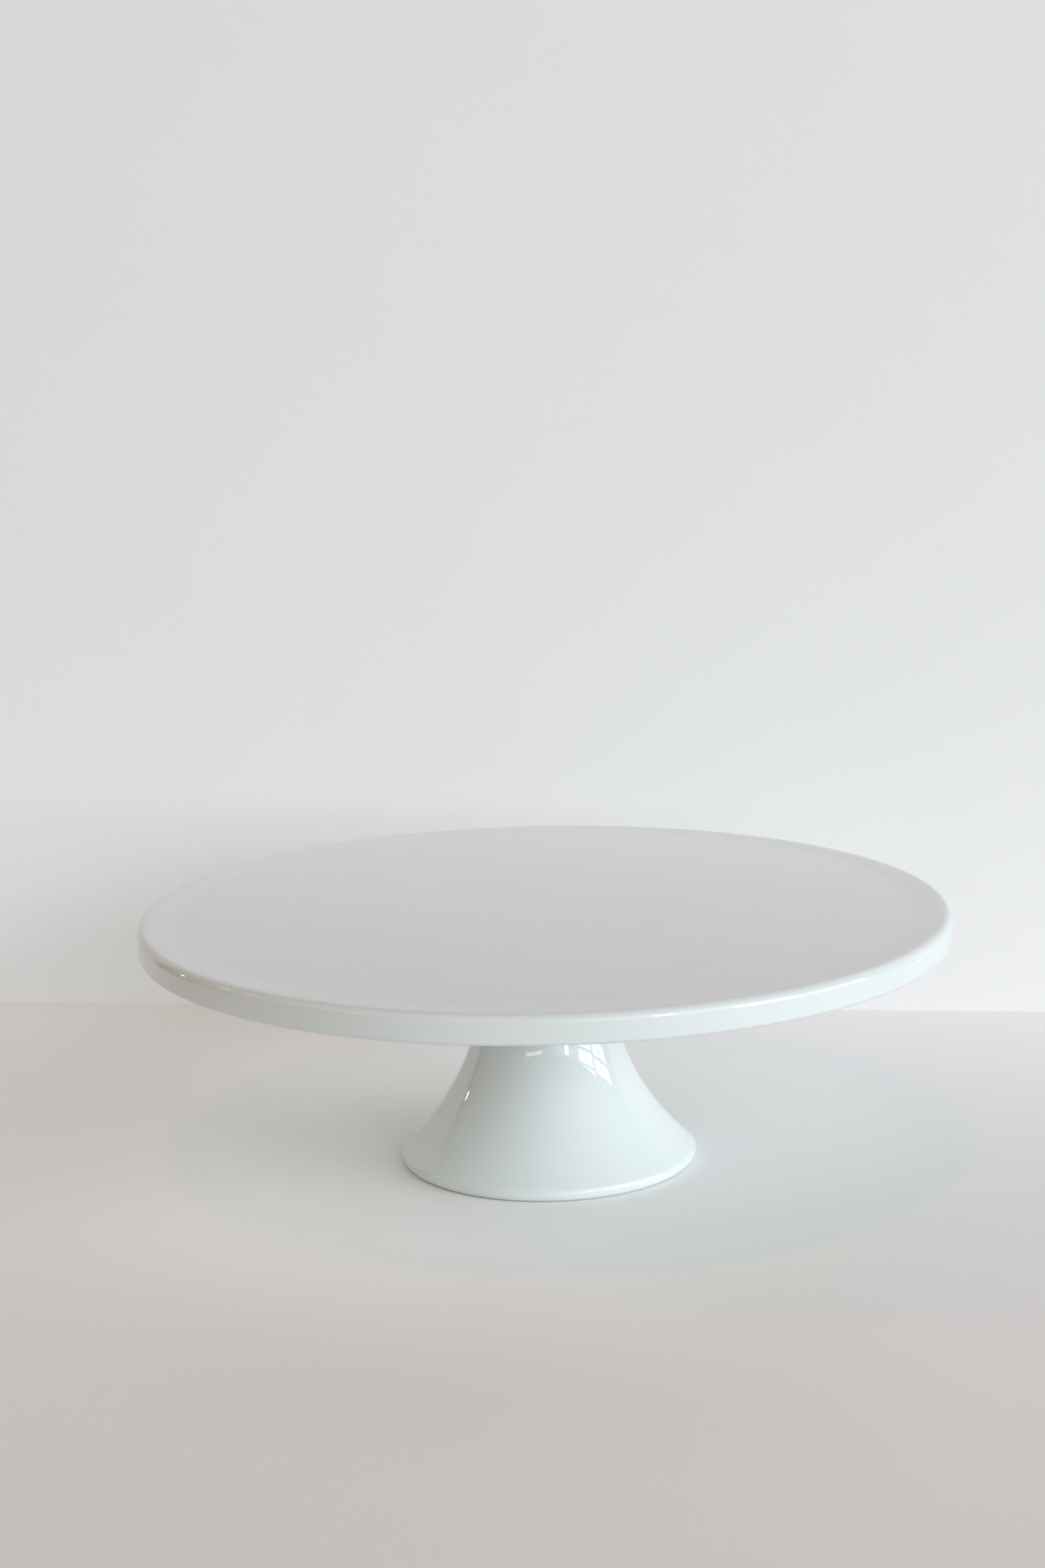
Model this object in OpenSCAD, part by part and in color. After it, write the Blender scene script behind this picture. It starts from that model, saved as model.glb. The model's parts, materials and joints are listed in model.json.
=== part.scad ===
// Round cake stand in glazed porcelain: a plate with a soft lip and a turned-down rim, luted with
// slip to a hollow trumpet pedestal. Z is the axis of revolution, with z = 0 on the table under
// the foot. All sizes are in millimetres.

/* [Overall] */
// Diameter of the plate over its rim
plate_d = 300; // [250:5:330]
// Height from the table to the top of the lip
stand_h = 96; // [80:1:140]

/* [Plate] */
// Thickness of the flat bed
bed_t = 6; // [5:0.5:7]
// How far the lip stands above the bed
lip_h = 0.5; // [0.3:0.1:2]
// Width of the slope that runs from the bed up to the lip
lip_run = 12; // [4:1:15]
// Height of the rim band, from its lower edge to the top of the lip
rim_h = 10.5; // [10:0.5:16]
// Thickness of the turned-down rim
rim_t = 6.5; // [5:0.5:9]
// Radius of the rim's soft upper edge
rim_round = 3; // [2:0.5:5]
// Radius of the rim's two lower edges
rim_edge = 1.4; // [0.8:0.2:2.2]
// How far the band leans in towards its lower edge
rim_lean = 0.4; // [0:0.1:1]
// Radius of the fillet between the rim's inner wall and the underside
rim_fillet = 4; // [1:0.5:6]

/* [Underside] */
// Width of the flat seat left around the pedestal's head
seat_margin = 12; // [6:1:16]
// How far the seat stands below the underside of the bed
seat_drop = 2.1; // [1:0.1:3]
// Width of the slope that ends the seat
seat_run = 6; // [4:1:10]
// Distance from the rim's outside to the middle of the stiffening ring
ring_inset = 54.5; // [35:0.5:60]
// Width of the stiffening ring
ring_w = 9; // [6:1:12]
// How far the stiffening ring stands below the underside of the bed
ring_drop = 2; // [1:0.1:3]

/* [Pedestal] */
// Diameter over the rounded edge of the foot
foot_d = 110.8; // [90:0.2:134]
// Radius of the foot's rounded outer edge
foot_edge = 2.8; // [2:0.1:4]
// Width of the flat ring that stands on the table
foot_ring_w = 3.6; // [2.5:0.1:5]
// Radius of the foot ring's inner edge
foot_inner_edge = 0.8; // [0.4:0.1:1.2]
// Diameter of the neck at its narrowest
neck_d = 46.6; // [36:0.2:58]
// Thickness of the pedestal's wall
wall_t = 4.6; // [3.8:0.1:6]
// Radius of the flare between the neck and the plate
head_flare = 14; // [10:1:20]
// Angle through which the head flares before it meets the slip
head_sweep = 60; // [45:5:65]

/* [Joint] */
// Thickness of the layer of joining slip
slip_t = 0.8; // [0.5:0.1:1.5]

/* [Hidden] */
PORCELAIN = [0.93, 0.95, 0.95];
SLIP = [0.88, 0.89, 0.88];
REVOLVE_FN = 144;
STEPS_EDGE = 8;
STEPS_SLOPE = 12;
STEPS_FLARE = 40;

// Levels of the plate
bed_z = stand_h - lip_h;
under_z = bed_z - bed_t;
seat_z = under_z - seat_drop;
rim_low_z = stand_h - rim_h;

// Radii of the plate
plate_r = plate_d / 2;
bed_r = plate_r - rim_round - lip_run;
rim_in_r = plate_r - rim_t;
rim_low_r = plate_r - rim_lean;
ring_r = plate_r - ring_inset;
inner_fillet = min(rim_fillet, under_z - rim_low_z - rim_edge);

// Pedestal: the head reaches up to the slip, which reaches up to the seat
head_z = seat_z - slip_t;
neck_z = head_z - head_flare * sin(head_sweep);
neck_r = neck_d / 2;
head_axis_r = neck_r + head_flare;
head_in_flare = head_flare + wall_t;
seat_r = head_axis_r - head_flare * cos(head_sweep) + seat_margin;

// Foot edge, and the one flare that is tangent to the foot edge and upright at the neck
edge_r = foot_d / 2 - foot_edge;
rise = neck_z - foot_edge;
reach = edge_r - neck_r;
flare = (reach * reach + rise * rise - foot_edge * foot_edge) / (2 * (reach + foot_edge));
flare_axis_r = neck_r + flare;
flare_in = flare + wall_t;
foot_tangent = atan2(rise, flare_axis_r - edge_r);
foot_in_r = edge_r - foot_ring_w;
foot_in_angle = acos((flare_axis_r - foot_in_r) / flare_in);

// Arc of n steps about c, from angle a to angle b, leaving out its first point if skip is 1
function arc(c, r, a, b, n, skip = 0) =
    [for (i = [skip : n]) let (t = a + (b - a) * i / n) [c[0] + r * cos(t), c[1] + r * sin(t)]];

// Inner points of a soft slope from p to q, level at both ends
function slope(p, q, n) =
    [for (i = [1 : n - 1]) let (t = i / n)
        [p[0] + (q[0] - p[0]) * t, p[1] + (q[1] - p[1]) * (1 - cos(180 * t)) / 2]];

// Angle on the head's flare, of radius r, at height z above the neck
function head_angle(r, z) = 180 - asin(z / r);

function lip_points() = concat(
    [[0, bed_z], [bed_r, bed_z]],
    slope([bed_r, bed_z], [bed_r + lip_run, stand_h], STEPS_SLOPE),
    arc([plate_r - rim_round, stand_h - rim_round], rim_round, 90, 0, STEPS_EDGE)
);

function rim_points() = concat(
    arc([rim_low_r - rim_edge, rim_low_z + rim_edge], rim_edge, 0, -90, STEPS_EDGE),
    arc([rim_in_r + rim_edge, rim_low_z + rim_edge], rim_edge, -90, -180, STEPS_EDGE),
    arc([rim_in_r - inner_fillet, under_z - inner_fillet], inner_fillet, 0, 90, STEPS_EDGE)
);

function stiffening_ring_points() = let (
    outer = [ring_r + ring_w / 2, under_z],
    crest = [ring_r, under_z - ring_drop],
    inner = [ring_r - ring_w / 2, under_z]
) concat(
    [outer],
    slope(outer, crest, STEPS_SLOPE),
    [crest],
    slope(crest, inner, STEPS_SLOPE),
    [inner]
);

function seat_points() = let (
    edge = [seat_r + seat_run, under_z],
    flat = [seat_r, seat_z]
) concat(
    [edge],
    slope(edge, flat, STEPS_SLOPE),
    [flat, [0, seat_z]]
);

function pedestal_outside() = concat(
    arc([edge_r, foot_edge], foot_edge, -90, 0, STEPS_EDGE),
    arc([edge_r, foot_edge], foot_edge, 0, foot_tangent, STEPS_EDGE, 1),
    arc([flare_axis_r, neck_z], flare, 180 + foot_tangent, 180, STEPS_FLARE, 1),
    arc([head_axis_r, neck_z], head_flare, 180, 180 - head_sweep, STEPS_SLOPE, 1)
);

function pedestal_inside() = concat(
    arc([head_axis_r, neck_z], head_in_flare,
        head_angle(head_in_flare, head_z - neck_z), 180, STEPS_SLOPE),
    arc([flare_axis_r, neck_z], flare_in, 180, 180 + foot_in_angle, STEPS_FLARE, 1),
    arc([foot_in_r + foot_inner_edge, foot_inner_edge], foot_inner_edge, 180, 270, STEPS_EDGE)
);

// The slip carries on the flares of the head, inside and out, up to the seat
function slip_points() = let (
    low = head_z - neck_z,
    high = seat_z - neck_z
) concat(
    arc([head_axis_r, neck_z], head_flare,
        head_angle(head_flare, low), head_angle(head_flare, high), STEPS_EDGE),
    arc([head_axis_r, neck_z], head_in_flare,
        head_angle(head_in_flare, high), head_angle(head_in_flare, low), STEPS_EDGE)
);

module revolve(points) {
    rotate_extrude($fn = REVOLVE_FN)
        polygon(points);
}

module plate() {
    color(PORCELAIN)
        revolve(concat(lip_points(), rim_points(), stiffening_ring_points(), seat_points()));
}

module slip_joint() {
    color(SLIP)
        revolve(slip_points());
}

module pedestal() {
    color(PORCELAIN)
        revolve(concat(pedestal_outside(), pedestal_inside()));
}

plate();
slip_joint();
pedestal();
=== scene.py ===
"""A glazed porcelain cake stand: a plate, a joint of slip and a trumpet pedestal, on a pale table.

Every piece is a surface of revolution about Z, computed with numpy on a grid of outline by turn.
Lengths are in metres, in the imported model's own frame, with z = 0 on the table under the foot.
"""

import json
import math

import bpy
import numpy as np
from mathutils import Matrix, Vector

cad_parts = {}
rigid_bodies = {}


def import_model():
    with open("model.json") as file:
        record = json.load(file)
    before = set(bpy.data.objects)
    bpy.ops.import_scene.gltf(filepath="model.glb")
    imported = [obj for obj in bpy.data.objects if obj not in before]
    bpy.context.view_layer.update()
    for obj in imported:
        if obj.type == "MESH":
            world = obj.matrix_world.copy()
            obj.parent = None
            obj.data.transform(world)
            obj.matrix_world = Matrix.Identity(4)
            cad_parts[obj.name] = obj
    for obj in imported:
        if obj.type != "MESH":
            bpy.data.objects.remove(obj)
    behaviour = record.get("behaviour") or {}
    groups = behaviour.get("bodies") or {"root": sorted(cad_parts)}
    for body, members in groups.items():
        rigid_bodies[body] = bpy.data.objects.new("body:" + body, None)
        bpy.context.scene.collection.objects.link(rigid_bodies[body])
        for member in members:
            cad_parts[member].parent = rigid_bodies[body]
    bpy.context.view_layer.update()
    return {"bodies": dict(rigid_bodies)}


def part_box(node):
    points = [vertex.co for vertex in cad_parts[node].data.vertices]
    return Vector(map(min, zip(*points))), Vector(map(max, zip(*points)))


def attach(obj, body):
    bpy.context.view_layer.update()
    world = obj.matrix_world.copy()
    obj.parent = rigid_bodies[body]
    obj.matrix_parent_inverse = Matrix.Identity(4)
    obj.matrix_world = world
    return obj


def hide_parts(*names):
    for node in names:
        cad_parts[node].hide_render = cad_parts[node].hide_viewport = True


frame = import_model()

MM = 0.001
BODY = next(iter(frame["bodies"]))

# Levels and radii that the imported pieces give.
PLATE_LOW, PLATE_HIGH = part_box("plate")
SLIP_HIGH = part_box("slip_joint")[1]
FOOT_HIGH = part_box("pedestal")[1]
PLATE_R = PLATE_HIGH.x
LIP_Z = PLATE_HIGH.z
RIM_LOW_Z = PLATE_LOW.z
SEAT_Z = SLIP_HIGH.z
HEAD_Z = FOOT_HIGH.z
FOOT_R = FOOT_HIGH.x

# The plate: its lip, its turned-down rim and what is moulded on its underside.
LIP_H = 0.5 * MM
LIP_RUN = 12 * MM
RIM_ROUND = 3 * MM
RIM_EDGE = 1.4 * MM
RIM_LEAN = 0.4 * MM
RIM_T = 6.5 * MM
RIM_FILLET = 2.6 * MM
SEAT_MARGIN = 12 * MM
SEAT_DROP = 2.1 * MM
SEAT_RUN = 6 * MM
RING_INSET = 54.5 * MM
RING_W = 9 * MM
RING_DROP = 2 * MM

# The pedestal: its foot, wall, neck and head.
FOOT_EDGE = 2.8 * MM
FOOT_RING_W = 3.6 * MM
FOOT_INNER_EDGE = 0.8 * MM
NECK_R = 23.3 * MM
WALL_T = 4.6 * MM
HEAD_FLARE = 14 * MM
HEAD_SWEEP = 60

# What the kiln and the hand leave on the surface.
GLAZE_T = 0.12 * MM
DIP = 0.04 * MM
DIP_HALF_W = 4.5 * MM
SAG = 0.12 * MM
OVAL = 0.1 * MM
RING_PITCH = 3.4 * MM
RING_DEPTH = 0.12 * MM
RINGS_TO_FADE = 4

# How each piece strays from round: the size, count and phase of each cosine round the turn.
SAG_PHASE = 0.9
PLATE_WAVES = ((0.6, 2, 1.3), (0.3, 3, 0.4))
PEDESTAL_WAVES = ((0.7, 2, 2.1), (0.3, 5, 0.3))
SLIP_WAVES = ((0.5, 3, 0.2), (0.3, 7, 1.0), (0.2, 12, 2.0))

# Where the foot's rounded edge is bare clay, and where its glaze starts, in degrees from level.
BARE_FROM, BARE_TO, GLAZE_FROM = -88, -62, -58
# Faces of the foot lower than this are bare.
BARE_H = 0.45 * MM

# Widths of the bells in which the glaze pools, and the height of the one inside the foot.
POOL_NARROW, POOL_MIDDLE, POOL_WIDE = 3 * MM, 4 * MM, 5 * MM
FOOT_POOL_Z = 3 * MM

# Columns of faces round the turn, and rows of faces along each kind of stretch.
TURNS = 320
BED_ROWS = 120
LIP_ROWS = 20
RIM_ROWS = 24
BAND_ROWS = 6
EDGE_ROWS = 10
RELIEF_ROWS = 14
FLAT_ROWS = 20
HOLLOW_ROWS = 130
FLARE_ROWS = 90
HEAD_ROWS = 20
HEAD_IN_ROWS = 16
FOOT_EDGE_ROWS = 22
FOOT_INNER_ROWS = 8
FOOT_RING_ROWS = 6
BARE_ROWS = 4
SLIP_ROWS = 8
MATED_ROWS = 4

# Points nearer than this are one point.
SAME_POINT = 0.1 * GLAZE_T

# Sizes that follow from those above.
BED_Z = LIP_Z - LIP_H
BED_R = PLATE_R - RIM_ROUND - LIP_RUN
UNDER_Z = SEAT_Z + SEAT_DROP
RING_R = PLATE_R - RING_INSET
NECK_Z = HEAD_Z - HEAD_FLARE * math.sin(math.radians(HEAD_SWEEP))
HEAD_AXIS = (NECK_R + HEAD_FLARE, NECK_Z)
SEAT_R = HEAD_AXIS[0] - HEAD_FLARE * math.cos(math.radians(HEAD_SWEEP)) + SEAT_MARGIN
EDGE_R = FOOT_R - FOOT_EDGE
RISE = NECK_Z - FOOT_EDGE
FLARE = ((EDGE_R - NECK_R) ** 2 + RISE ** 2 - FOOT_EDGE ** 2) / (2 * (FOOT_R - NECK_R))
FLARE_AXIS = (NECK_R + FLARE, NECK_Z)
FOOT_IN_R = EDGE_R - FOOT_RING_W


# ---------------------------------------------------------------- outlines

def arc(centre, radius, start, end, steps):
    """Points at equal angles, in degrees, on a circle about centre."""
    t = np.radians(np.linspace(start, end, steps + 1))
    return np.stack([centre[0] + radius * np.cos(t), centre[1] + radius * np.sin(t)], 1)


def line(p, q, steps):
    """Points at equal steps from p to q."""
    t = np.linspace(0, 1, steps + 1)[:, None]
    return np.asarray(p) * (1 - t) + np.asarray(q) * t


def slope(p, q, steps):
    """Half a cosine wave from p to q, level at both ends."""
    points = line(p, q, steps)
    t = np.linspace(0, 1, steps + 1)
    points[:, 1] = p[1] + (q[1] - p[1]) * (1 - np.cos(np.pi * t)) / 2
    return points


def join(*stretches):
    """The stretches one after another, without the points that repeat the one before."""
    points = np.concatenate(stretches)
    step = np.linalg.norm(np.diff(points, axis=0), axis=1)
    return points[np.r_[True, step > SAME_POINT]]


def bed():
    """The flat bed, less a bell-shaped dip over the seat's edge and another over the ring.

    The bed sinks a little in firing where the underside is thicker.
    """
    points = line((0, BED_Z), (BED_R, BED_Z), BED_ROWS)
    for radius in (SEAT_R + SEAT_RUN / 2, RING_R):
        points[:, 1] -= DIP * np.exp(-(((points[:, 0] - radius) / DIP_HALF_W) ** 2))
    return points


def plate_outline():
    """From the middle of the bed over the lip, down the rim, and back in along the underside."""
    rim_in = PLATE_R - RIM_T
    low_r = PLATE_R - RIM_LEAN
    crest = (RING_R, UNDER_Z - RING_DROP)
    ring_out, ring_in = (RING_R + RING_W / 2, UNDER_Z), (RING_R - RING_W / 2, UNDER_Z)
    return join(
        bed(),
        slope((BED_R, BED_Z), (BED_R + LIP_RUN, LIP_Z), LIP_ROWS),
        arc((PLATE_R - RIM_ROUND, LIP_Z - RIM_ROUND), RIM_ROUND, 90, 0, RIM_ROWS),
        line((PLATE_R, LIP_Z - RIM_ROUND), (low_r, RIM_LOW_Z + RIM_EDGE), BAND_ROWS),
        arc((low_r - RIM_EDGE, RIM_LOW_Z + RIM_EDGE), RIM_EDGE, 0, -90, EDGE_ROWS),
        arc((rim_in + RIM_EDGE, RIM_LOW_Z + RIM_EDGE), RIM_EDGE, -90, -180, EDGE_ROWS),
        arc((rim_in - RIM_FILLET, UNDER_Z - RIM_FILLET), RIM_FILLET, 0, 90, EDGE_ROWS),
        line((rim_in - RIM_FILLET, UNDER_Z), ring_out, FLAT_ROWS),
        slope(ring_out, crest, RELIEF_ROWS),
        slope(crest, ring_in, RELIEF_ROWS),
        line(ring_in, (SEAT_R + SEAT_RUN, UNDER_Z), FLAT_ROWS),
        slope((SEAT_R + SEAT_RUN, UNDER_Z), (SEAT_R, SEAT_Z), RELIEF_ROWS),
        line((SEAT_R, SEAT_Z), (0, SEAT_Z), FLAT_ROWS),
    )


def throwing_rings(points):
    """The points with their radius taken to and fro by a sine of height: the marks of the sponge.

    The marks fade in over the first few rings above the foot, and stop at the neck.
    """
    rings = points[:, 1] / RING_PITCH
    fade = np.clip((rings - 1) / RINGS_TO_FADE, 0, 1) * (points[:, 1] < NECK_Z)
    points[:, 0] += RING_DEPTH * fade * np.sin(2 * np.pi * rings)
    return points


def pedestal_outline():
    """Down the hollow from the head to the foot ring, then up the foot edge, flare and neck."""
    tangent = math.degrees(math.atan2(RISE, FLARE_AXIS[0] - EDGE_R))
    inner = HEAD_FLARE + WALL_T
    inner_turn = math.degrees(math.asin((HEAD_Z - NECK_Z) / inner))
    inner_head = arc(HEAD_AXIS, inner, 180 - inner_turn, 180, HEAD_IN_ROWS)
    foot_turn = math.degrees(math.acos((FLARE_AXIS[0] - FOOT_IN_R) / (FLARE + WALL_T)))
    hollow = throwing_rings(arc(FLARE_AXIS, FLARE + WALL_T, 180, 180 + foot_turn, HOLLOW_ROWS))
    foot_in = FOOT_IN_R + FOOT_INNER_EDGE
    foot_edge = (EDGE_R, FOOT_EDGE)
    head = arc(HEAD_AXIS, HEAD_FLARE, 180, 180 - HEAD_SWEEP, HEAD_ROWS)
    return join(
        inner_head,
        hollow,
        arc((foot_in, FOOT_INNER_EDGE), FOOT_INNER_EDGE, 180, 270, FOOT_INNER_ROWS),
        line((foot_in, 0), (EDGE_R, 0), FOOT_RING_ROWS),
        arc(foot_edge, FOOT_EDGE - GLAZE_T, BARE_FROM, BARE_TO, BARE_ROWS),
        arc(foot_edge, FOOT_EDGE, GLAZE_FROM, tangent, FOOT_EDGE_ROWS),
        arc(FLARE_AXIS, FLARE, 180 + tangent, 180, FLARE_ROWS),
        head,
        line(head[-1], inner_head[0], MATED_ROWS)[:-1],
    )


def slip_outline():
    """The head's two flares carried on through the slip, down inside and up outside."""
    low, high = HEAD_Z - NECK_Z, SEAT_Z - NECK_Z
    inner = HEAD_FLARE + WALL_T

    def angle(radius, height):
        return 180 - math.degrees(math.asin(height / radius))

    inside = arc(HEAD_AXIS, inner, angle(inner, high), angle(inner, low), SLIP_ROWS)
    outside = arc(HEAD_AXIS, HEAD_FLARE, angle(HEAD_FLARE, low), angle(HEAD_FLARE, high), SLIP_ROWS)
    return join(
        inside,
        line(inside[-1], outside[0], MATED_ROWS),
        outside,
        line(outside[-1], inside[0], MATED_ROWS)[:-1],
    )


# ---------------------------------------------------------------- surfaces

def round_turn(turn, *waves):
    """A sum of cosines round the turn, each given as its size, its count and its phase."""
    return sum(size * np.cos(count * turn - phase) for size, count, phase in waves)


def sagged(r, z, turn):
    """The plate let down at two opposite sides, by up to SAG at the rim, as r squared."""
    droop = SAG * (r / PLATE_R) ** 2 * (1 + np.cos(2 * turn - SAG_PHASE)) / 2
    drawn = OVAL * (r / PLATE_R) * (1 + round_turn(turn, *PLATE_WAVES)) / 2
    return r - drawn, z - droop


def drawn_in(r, z, turn):
    """The pedestal drawn in a little from round, by up to OVAL, more towards the foot."""
    return r - OVAL * (1 - z / HEAD_Z) * (1 + round_turn(turn, *PEDESTAL_WAVES)) / 2, z


def sponged(r, z, turn):
    """The slip drawn in by up to OVAL, by turns more and less, where it was sponged off by hand."""
    return r - OVAL * (1 + round_turn(turn, *SLIP_WAVES)) / 2, z


def revolve(name, outline, materials, shape, hollows, bare=None):
    """The outline turned about Z: x = r cos a, y = r sin a, with r and z bent by shape(r, z, a).

    An outline that starts on the axis gets a fan at each pole; any other is a closed ring. The
    attribute pooling is the sum of a bell of distance about each of the hollows (r, z, width).
    bare(r, z) says which rows of faces take the second material.
    """
    poled = outline[0, 0] < MM
    rows = outline[1:-1] if poled else outline
    count = len(rows)
    turn, r = np.meshgrid(np.arange(TURNS) * 2 * np.pi / TURNS, rows[:, 0])
    z = np.repeat(rows[:, 1:], TURNS, 1)
    pooling = sum(np.exp(-((r - hr) ** 2 + (z - hz) ** 2) / width ** 2) for hr, hz, width in hollows)
    r, z = shape(r, z, turn)
    points = np.stack([r * np.cos(turn), r * np.sin(turn), z], 2).reshape(-1, 3)
    pooling = pooling.ravel()

    index = np.arange(count * TURNS).reshape(count, TURNS)
    here = index[:-1] if poled else index
    after = np.roll(index, -1, 0)[: len(here)]
    quads = np.stack([here, after, np.roll(after, -1, 1), np.roll(here, -1, 1)], 2).reshape(-1, 4)
    fans = np.zeros((0, 3), int)
    if poled:
        first, last = index[0], index[-1]
        top, bottom = len(points), len(points) + 1
        points = np.concatenate([points, [[0, 0, outline[0, 1]], [0, 0, outline[-1, 1]]]])
        pooling = np.r_[pooling, 0, 0]
        fans = np.concatenate([
            np.stack([np.full(TURNS, top), first, np.roll(first, -1)], 1),
            np.stack([np.full(TURNS, bottom), np.roll(last, -1), last], 1),
        ])

    mesh = bpy.data.meshes.new(name)
    mesh.vertices.add(len(points))
    mesh.vertices.foreach_set("co", points.astype(np.float32).ravel())
    corners = np.r_[quads.ravel(), fans.ravel()].astype(np.int32)
    mesh.loops.add(len(corners))
    mesh.loops.foreach_set("vertex_index", corners)
    sizes = np.r_[np.full(len(quads), 4), np.full(len(fans), 3)]
    mesh.polygons.add(len(sizes))
    mesh.polygons.foreach_set("loop_start", (np.cumsum(sizes) - sizes).astype(np.int32))
    if bare is not None:
        middle = (rows + np.roll(rows, -1, 0)) / 2
        mesh.polygons.foreach_set("material_index", np.repeat(bare(*middle.T), TURNS).astype(np.int32))
    mesh.update(calc_edges=True)
    mesh.shade_smooth()
    mesh.attributes.new("pooling", "FLOAT", "POINT").data.foreach_set("value", pooling.astype(np.float32))
    for material in materials:
        mesh.materials.append(material)
    piece = bpy.data.objects.new(name, mesh)
    bpy.context.scene.collection.objects.link(piece)
    return piece


# ---------------------------------------------------------------- materials

def colour(code):
    """An sRGB hex value as linear red, green, blue and alpha."""
    c = np.array([int(code[i:i + 2], 16) for i in (0, 2, 4)]) / 255
    linear = np.where(c <= 0.04045, c / 12.92, ((c + 0.055) / 1.055) ** 2.4)
    return (*linear.tolist(), 1.0)


def add(tree, kind, inputs=None, **settings):
    """One node with its settings. Each input is a value, or the output that is linked to it."""
    node = tree.nodes.new("ShaderNode" + kind)
    for key, value in settings.items():
        setattr(node, key, value)
    for key, value in (inputs or {}).items():
        if isinstance(value, bpy.types.NodeSocket):
            tree.links.new(value, node.inputs[key])
        else:
            node.inputs[key].default_value = value
    return node


def new_material(name):
    """An empty node material and its tree."""
    material = bpy.data.materials.new(name)
    material.use_nodes = True
    material.node_tree.nodes.clear()
    return material, material.node_tree


# The glaze: clouds of tone, pinholes, orange peel in long and fine waves, and its roughness.
CLOUD_W, CLOUD_TINT = 40 * MM, 0.35
PINHOLE_R, PINHOLE_CELL, PINHOLE_FREE = 0.3 * MM, 6 * MM, 0.9
PINHOLE_TONE = "8F887C"
PEEL_LONG, PEEL_FINE, PEEL_FINE_SHARE, PEEL_H = 9 * MM, 1.5 * MM, 0.12, 0.0015 * MM
GLOSS_MIN, GLOSS_MAX = 0.012, 0.025
GLAZE_IOR = 1.52

# The unglazed clay's grit.
GRIT_W, GRIT_H = 0.5 * MM, 0.03 * MM


def glazed_porcelain(name, body, pooled):
    """Cast hard-paste porcelain, dipped in a clear gloss glaze and glost fired.

    The eye gets a cool white body, a mirror gloss that wavers a little, a trace of blue-green
    where the glaze lies thick, and here and there a dark pinhole.
    """
    material, tree = new_material(name)
    place = add(tree, "TexCoord").outputs["Object"]
    cloud = add(tree, "TexNoise", {"Vector": place, "Scale": 1 / CLOUD_W, "Detail": 2.0})
    tone = add(tree, "MapRange", {"Value": cloud.outputs[0], "To Min": 0.0, "To Max": CLOUD_TINT})
    thick = add(tree, "Attribute", attribute_name="pooling")
    depth = add(tree, "Math", {0: thick.outputs["Fac"], 1: tone.outputs[0]}, operation="ADD", use_clamp=True)
    glaze = add(tree, "Mix", {0: depth.outputs[0], 6: colour(body), 7: colour(pooled)}, data_type="RGBA")

    # Pinholes, each round its cell's own point, in one in ten of the cells.
    cell = add(tree, "TexVoronoi", {"Vector": place, "Scale": 1 / PINHOLE_CELL})
    near = add(tree, "Math", {
        0: cell.outputs["Distance"],
        1: PINHOLE_R / PINHOLE_CELL,
    }, operation="LESS_THAN")
    pick = add(tree, "SeparateColor", {0: cell.outputs["Color"]})
    rare = add(tree, "Math", {0: pick.outputs[0], 1: PINHOLE_FREE}, operation="GREATER_THAN")
    hole = add(tree, "Math", {0: near.outputs[0], 1: rare.outputs[0]}, operation="MULTIPLY")
    face = add(tree, "Mix", {
        0: hole.outputs[0],
        6: glaze.outputs[2],
        7: colour(PINHOLE_TONE),
    }, data_type="RGBA")

    # Orange peel: long waves with a share of fine ones, which let a reflected edge waver.
    wave = add(tree, "TexNoise", {"Vector": place, "Scale": 1 / PEEL_LONG, "Detail": 0.0})
    fine = add(tree, "TexNoise", {"Vector": place, "Scale": 1 / PEEL_FINE, "Detail": 1.0})
    peel = add(tree, "Mix", {0: PEEL_FINE_SHARE, 2: wave.outputs[0], 3: fine.outputs[0]}, data_type="FLOAT")
    relief = add(tree, "Bump", {"Height": peel.outputs[0], "Distance": PEEL_H, "Strength": 1.0})
    gloss = add(tree, "MapRange", {"Value": cloud.outputs[0], "To Min": GLOSS_MIN, "To Max": GLOSS_MAX})
    shader = add(tree, "BsdfPrincipled", {
        "Base Color": face.outputs[2],
        "Roughness": gloss.outputs[0],
        "IOR": GLAZE_IOR,
        "Normal": relief.outputs[0],
    })
    add(tree, "OutputMaterial", {"Surface": shader.outputs[0]})
    return material


def biscuit():
    """Unglazed porcelain, wiped clean of glaze before firing: a dry, faintly warm, fine grit."""
    material, tree = new_material("unglazed_porcelain")
    place = add(tree, "TexCoord").outputs["Object"]
    grit = add(tree, "TexNoise", {"Vector": place, "Scale": 1 / GRIT_W, "Detail": 3.0})
    tone = add(tree, "Mix", {0: grit.outputs[0], 6: colour("DAD4C9"), 7: colour("ECE8E0")}, data_type="RGBA")
    relief = add(tree, "Bump", {"Height": grit.outputs[0], "Distance": GRIT_H, "Strength": 1.0})
    shader = add(tree, "BsdfPrincipled", {
        "Base Color": tone.outputs[2],
        "Roughness": 0.8,
        "IOR": 1.5,
        "Normal": relief.outputs[0],
    })
    add(tree, "OutputMaterial", {"Surface": shader.outputs[0]})
    return material


# Where the table's painted shade for light rays starts, where it is darkest, and how dark that is.
FADE_FROM, FADE_TO = 0.4, 0.65
FAR_PAINTED_SHADE = (0.16, 0.15, 0.14, 1.0)


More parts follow.
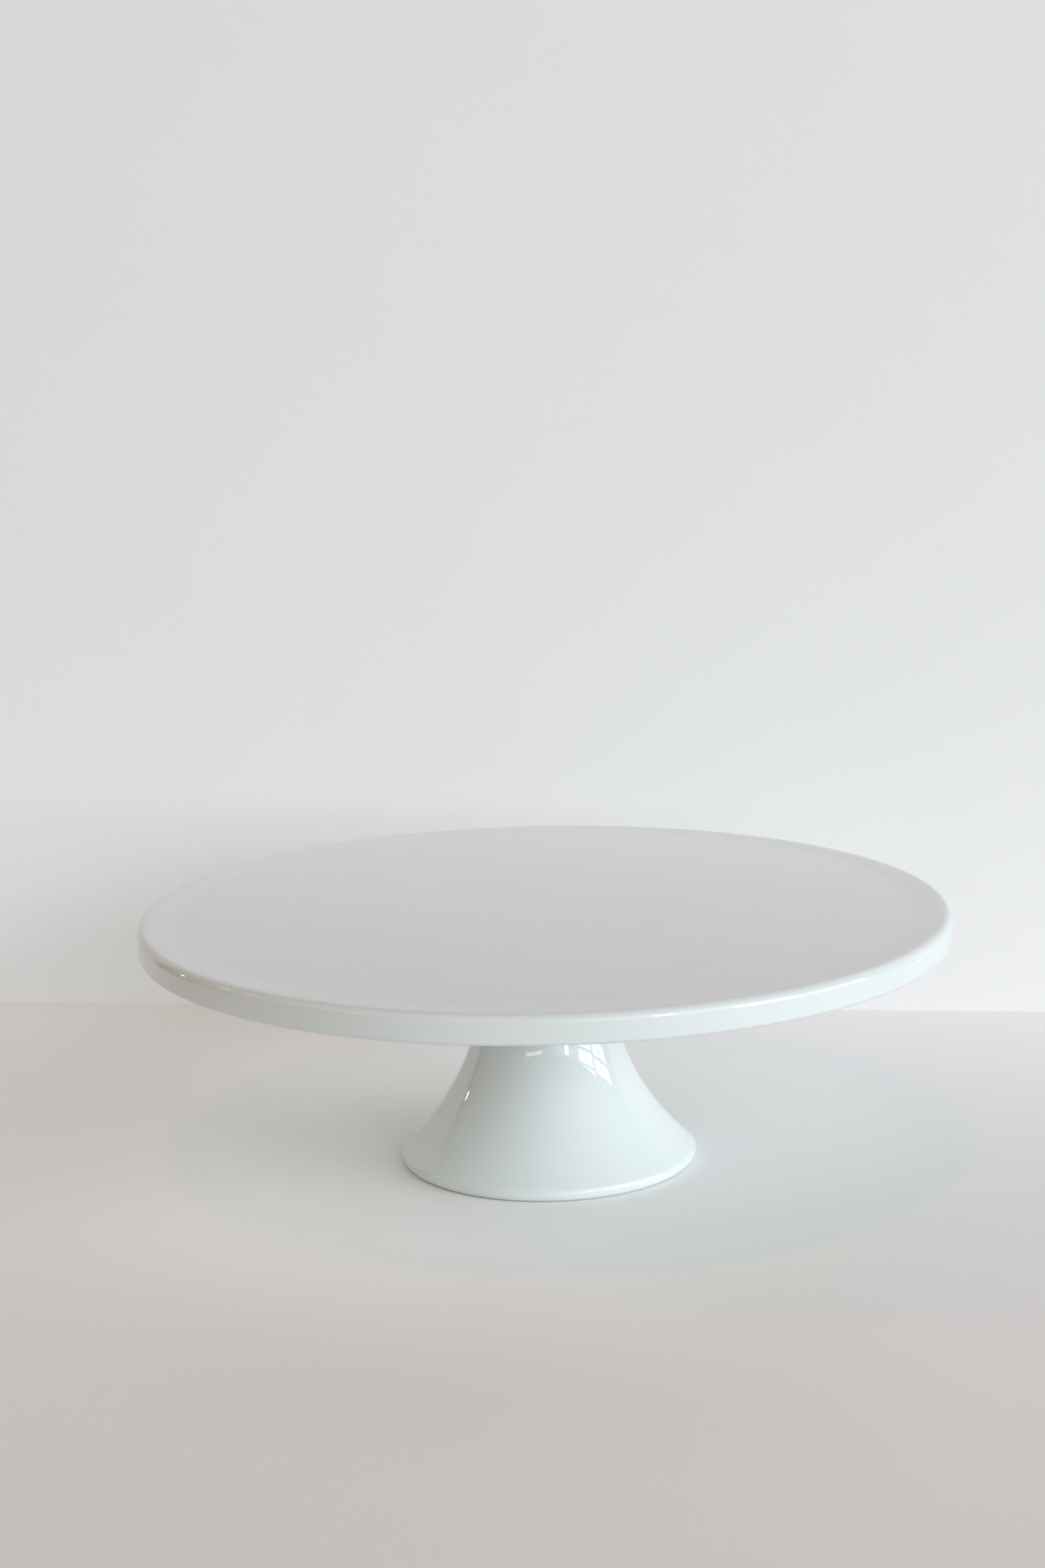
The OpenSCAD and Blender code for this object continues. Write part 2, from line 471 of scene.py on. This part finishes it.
def matt(name, light, dark, grain, roughness, fades):
    """A matt pale surface whose tone drifts between two whites over patches grain wide.

    It gives the eye a quiet, even ground with a soft shadow and no clear reflection. It is clear
    from behind, so that it never hides the stand. One that fades is painted dark far from the
    stand, a painted shade for the dark room there that only light rays meet, so that it throws
    less light back while the camera still sees it pale; it is clear from behind to the camera only.
    """
    material, tree = new_material(name)
    place = add(tree, "TexCoord").outputs["Object"]
    drift = add(tree, "TexNoise", {"Vector": place, "Scale": 1 / grain, "Detail": 2.0})
    tone = add(tree, "Mix", {0: drift.outputs[0], 6: colour(light), 7: colour(dark)}, data_type="RGBA")
    behind = add(tree, "NewGeometry").outputs["Backfacing"]
    if fades:
        seen = add(tree, "LightPath").outputs["Is Camera Ray"]
        far = add(tree, "VectorMath", {0: place}, operation="LENGTH")
        fade = add(tree, "MapRange", {
            "Value": far.outputs["Value"], "From Min": FADE_FROM, "From Max": FADE_TO,
        }, interpolation_type="SMOOTHSTEP")
        unseen = add(tree, "Math", {0: 1.0, 1: seen}, operation="SUBTRACT")
        share = add(tree, "Math", {0: fade.outputs[0], 1: unseen.outputs[0]}, operation="MULTIPLY")
        # Painted shade: far from the stand, light rays meet the table painted dark, standing in for the dark
        # room; the camera still sees it pale.
        tone = add(tree, "Mix", {0: share.outputs[0], 6: tone.outputs[2], 7: FAR_PAINTED_SHADE}, data_type="RGBA")
        behind = add(tree, "Math", {0: behind, 1: seen}, operation="MULTIPLY").outputs[0]
    paint = add(tree, "BsdfPrincipled", {"Base Color": tone.outputs[2], "Roughness": roughness, "IOR": 1.45})
    clear = add(tree, "BsdfTransparent")
    surface = add(tree, "MixShader", {0: behind, 1: paint.outputs[0], 2: clear.outputs[0]})
    add(tree, "OutputMaterial", {"Surface": surface.outputs[0]})
    return material


# ---------------------------------------------------------------- the stand

WHITE = glazed_porcelain("glazed_porcelain", "E1E7E7", "D5E1DF")
JOINT = glazed_porcelain("glazed_joining_slip", "DBE1DF", "CFDCD9")
BISCUIT = biscuit()

plate = revolve(
    "plate_body", plate_outline(), [WHITE], sagged,
    hollows=[
        (PLATE_R - RIM_T - RIM_FILLET / 2, UNDER_Z, POOL_NARROW),
        (RING_R + RING_W / 2, UNDER_Z, POOL_NARROW),
        (RING_R - RING_W / 2, UNDER_Z, POOL_NARROW),
        (SEAT_R + SEAT_RUN, UNDER_Z, POOL_MIDDLE),
    ],
)
pedestal = revolve(
    "pedestal_body", pedestal_outline(), [WHITE, BISCUIT], drawn_in,
    hollows=[
        (HEAD_AXIS[0] - HEAD_FLARE / 2, HEAD_Z, POOL_WIDE),
        (FOOT_IN_R, FOOT_POOL_Z, POOL_NARROW),
    ],
    bare=lambda r, z: (z < BARE_H) & (r > FOOT_IN_R + FOOT_INNER_EDGE / 2),
)
slip = revolve(
    "slip_fillet", slip_outline(), [JOINT], sponged,
    hollows=[(HEAD_AXIS[0] - HEAD_FLARE / 2, SEAT_Z, POOL_MIDDLE)],
)
for piece, node, slot in (
    (plate, "plate", "plate_porcelain"),
    (pedestal, "pedestal", "pedestal_porcelain"),
    (slip, "slip_joint", "joining_slip"),
):
    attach(piece, BODY)
    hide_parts(node)


# ---------------------------------------------------------------- table and backdrop

# The backdrop's ends, its top, how far behind the stand's axis it crosses, and its slant per metre.
WALL_LEFT, WALL_RIGHT, WALL_TOP = -0.5, 0.6, 0.5
WALL_Y, WALL_SKEW = 0.208, -0.11
TABLE_HALF = 6.0
TABLE_GAP = 0.05 * MM


def flat(name, corners, material):
    """One four-cornered face, which stands for part of the studio."""
    mesh = bpy.data.meshes.new(name)
    mesh.from_pydata(corners, [], [(0, 1, 2, 3)])
    mesh.materials.append(material)
    sheet = bpy.data.objects.new(name, mesh)
    bpy.context.scene.collection.objects.link(sheet)


flat(
    "table_top",
    [(x * TABLE_HALF, y * TABLE_HALF, -TABLE_GAP) for x, y in ((-1, -1), (1, -1), (1, 1), (-1, 1))],
    matt("white_laminate", "FAF9F8", "F8F7F6", grain=60 * MM, roughness=0.55, fades=True),
)
flat(
    "backdrop",
    [(x, WALL_Y + WALL_SKEW * x, z) for x, z in (
        (WALL_LEFT, -TABLE_GAP), (WALL_RIGHT, -TABLE_GAP), (WALL_RIGHT, WALL_TOP), (WALL_LEFT, WALL_TOP),
    )],
    matt("painted_board", "F5F5F6", "F3F3F4", grain=80 * MM, roughness=0.9, fades=False),
)


# ---------------------------------------------------------------- light

# Every light faces AIM, from LIGHT_FAR away. GLAZING_BAR is in degrees.
AIM = Vector((0, 0, 50 * MM))
LIGHT_FAR = 3.0
GLAZING_BAR = 1.2


def toward(azimuth, elevation):
    """The direction at that azimuth, from the front towards +X, and elevation, in degrees."""
    a, e = math.radians(azimuth), math.radians(elevation)
    return Vector((math.sin(a) * math.cos(e), -math.cos(a) * math.cos(e), math.sin(e)))


def soft_box(name, azimuth, elevation, radiance):
    """A rectangular light that faces the stand and fills those spans of azimuth and elevation."""
    middle = toward(sum(azimuth) / 2, sum(elevation) / 2)
    half_wide, half_high = (math.radians(high - low) / 2 for low, high in (azimuth, elevation))
    light = bpy.data.lights.new(name, "AREA")
    light.shape = "RECTANGLE"
    light.size = 2 * LIGHT_FAR * math.tan(half_wide) * math.hypot(middle.x, middle.y)
    light.size_y = 2 * LIGHT_FAR * math.tan(half_high)
    strength = max(radiance)
    light.energy = math.pi * light.size * light.size_y * strength
    light.color = [c / strength for c in radiance]
    box = bpy.data.objects.new(name, light)
    box.location = AIM + middle * LIGHT_FAR
    box.rotation_euler = (-middle).to_track_quat("-Z", "Y").to_euler()
    box.visible_camera = False
    bpy.context.scene.collection.objects.link(box)


def window(name, azimuth, elevation, columns, rows, radiance):
    """Panes in columns and rows that fill those spans, in degrees, with a glazing bar between."""
    wide = (azimuth[1] - azimuth[0] + GLAZING_BAR) / columns
    high = (elevation[1] - elevation[0] + GLAZING_BAR) / rows
    for i in range(columns):
        for j in range(rows):
            left, low = azimuth[0] + i * wide, elevation[0] + j * high
            across, up = (left, left + wide - GLAZING_BAR), (low, low + high - GLAZING_BAR)
            soft_box(f"{name}_{i}{j}", across, up, radiance)


# Windows: azimuth and elevation in degrees, columns and rows of panes, and radiance.
window("window_a", (50, 71), (1, 24), 2, 4, (6.6, 7.3, 7.6))
window("window_b", (74, 94), (1, 19), 2, 3, (6.0, 6.7, 6.9))
window("window_c", (28, 34), (12, 23), 1, 2, (13, 14.5, 15))

# Small lamps: azimuth and elevation in degrees, and radiance.
LAMPS = (
    ("ceiling_lamp", (-17.5, -14.5), (72.5, 73.5), (600, 150, 22)),
    ("lamp_bar", (-33, -7), (16, 17.6), (5, 4.9, 4.8)),
    ("lamp_rail", (-33, -20), (52, 53), (14, 14, 13.5)),
    ("lamp_left", (-59, -52), (28, 29), (12, 11.5, 11)),
    ("lamp_corner", (-72, -67), (35, 36), (10, 9.5, 9)),
    ("lamp_shelf", (-100, -93), (34, 35), (14, 13, 12)),
    ("lamp_door", (-107, -101), (28, 29), (14, 13, 12)),
    ("lamp_warm", (-117, -115), (13, 15), (30, 20, 9)),
)
for lamp in LAMPS:
    soft_box(*lamp)

# Soft patches of the room's own light: azimuth, elevation, reach in degrees, and radiance.
ROOM = (
    (40, 5, 50, (2.2, 2.3, 2.45)),
    (-30, 40, 42, (0.15, 0.2, 0.1)),
    (-90, 40, 42, (0.6, 0.36, 0.18)),
    (-90, 65, 42, (0.05, 0.12, 0.25)),
)
# A patch is at full strength within its reach divided by this.
CORE = 6
# What the camera sees past the table and the backdrop.
EMPTY_ROOM = colour("DCDDDF")


def light_room():
    """A world that is a sum of soft patches, each a smooth step of the angle from its middle."""
    world = bpy.data.worlds.new("room")
    bpy.context.scene.world = world
    world.use_nodes = True
    tree = world.node_tree
    tree.nodes.clear()
    way = add(tree, "TexCoord").outputs["Generated"]
    total = None
    for azimuth, elevation, reach, radiance in ROOM:
        along = add(tree, "VectorMath", {0: way, 1: toward(azimuth, elevation)}, operation="DOT_PRODUCT")
        fade = add(tree, "MapRange", {
            "Value": along.outputs["Value"],
            "From Min": math.cos(math.radians(reach)),
            "From Max": math.cos(math.radians(reach / CORE)),
        }, interpolation_type="SMOOTHSTEP")
        patch = add(tree, "VectorMath", {0: radiance, "Scale": fade.outputs[0]}, operation="SCALE").outputs[0]
        if total is None:
            total = patch
        else:
            total = add(tree, "VectorMath", {0: total, 1: patch}, operation="ADD").outputs[0]
    seen = add(tree, "LightPath").outputs["Is Camera Ray"]
    shown = add(tree, "Mix", {0: seen, 6: total, 7: EMPTY_ROOM}, data_type="RGBA")
    back = add(tree, "Background", {0: shown.outputs[2]})
    add(tree, "OutputWorld", {"Surface": back.outputs[0]})


light_room()


# ---------------------------------------------------------------- camera

# Place in metres, lens and sensor in millimetres, turns in degrees.
CAMERA_BACK, CAMERA_UP = 0.989, 0.33
CAMERA_LENS, CAMERA_SENSOR = 62.9, 36
CAMERA_PITCH, CAMERA_YAW, CAMERA_ROLL = 10.75, -0.4, 1.27
CAMERA_NEAR, CAMERA_FAR = 0.01, 50


def place_camera():
    """A camera in front of the stand, pitched down, turned a little and rolled a little."""
    pitch, yaw, roll = (math.radians(v) for v in (CAMERA_PITCH, CAMERA_YAW, CAMERA_ROLL))
    ahead = Vector((math.sin(yaw) * math.cos(pitch), math.cos(yaw) * math.cos(pitch), -math.sin(pitch)))
    level = Vector((math.cos(yaw), -math.sin(yaw), 0))
    below = ahead.cross(level)
    right = level * math.cos(roll) + below * math.sin(roll)
    up = level * math.sin(roll) - below * math.cos(roll)
    data = bpy.data.cameras.new("camera")
    data.sensor_width = CAMERA_SENSOR
    data.lens = CAMERA_LENS
    data.clip_start, data.clip_end = CAMERA_NEAR, CAMERA_FAR
    camera = bpy.data.objects.new("camera", data)
    turn = Matrix((right, up, -ahead)).transposed().to_4x4()
    camera.matrix_world = Matrix.Translation((0, -CAMERA_BACK, CAMERA_UP)) @ turn
    bpy.context.scene.collection.objects.link(camera)
    bpy.context.scene.camera = camera


place_camera()
bpy.context.scene.view_settings.view_transform = "Standard"
# A display gamma above 1 lifts the mid tones, as a bright exposure does.
bpy.context.scene.view_settings.gamma = 1.2
